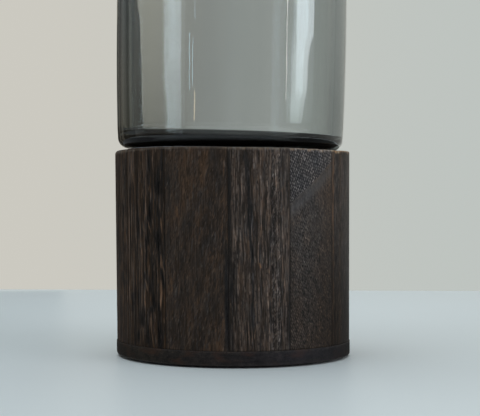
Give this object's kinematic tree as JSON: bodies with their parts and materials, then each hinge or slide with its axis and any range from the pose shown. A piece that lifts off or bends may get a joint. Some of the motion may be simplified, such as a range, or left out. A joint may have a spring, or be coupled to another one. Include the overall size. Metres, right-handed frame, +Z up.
{
  "type": "glass vase with wooden base",
  "caption": "Smoked glass cylinder vase that lifts out of a round socket base coopered from dark wooden staves.",
  "frame": {"origin": "centre of the underside of the felt foot, on the surface the vase stands on", "axes": "+Z up along the vase; the front seen in the picture faces -Y and +X is to its right"},
  "size_m": [0.1166, 0.1158, 0.3],
  "materials": {
    "smoked_glass": "clear smoked grey-green glass, polished",
    "stave_wood": "dark open-pored wood, satin oil",
    "disc_wood": "near-black stained wood, satin",
    "seat_wood": "plain board, unfinished",
    "soft_pad": "matte foam rubber",
    "felt": "black felt"
  },
  "bodies": {
    "base": {"felt_foot": "felt", "bottom_disc": "disc_wood", "stave_01": "stave_wood", "stave_02": "stave_wood", "stave_03": "stave_wood", "stave_04": "stave_wood", "stave_05": "stave_wood", "stave_06": "stave_wood", "stave_07": "stave_wood", "stave_08": "stave_wood", "stave_09": "stave_wood", "stave_10": "stave_wood", "stave_11": "stave_wood", "stave_12": "stave_wood", "seat_disc": "seat_wood", "seat_pad": "soft_pad"},
    "vessel": {"glass_vessel": "smoked_glass"}
  },
  "joints": [
    {"name": "glass_lift", "type": "slide", "parent": "base", "child": "vessel", "axis": [0, 0, 1], "range_m": [0, 0.05]}
  ]
}
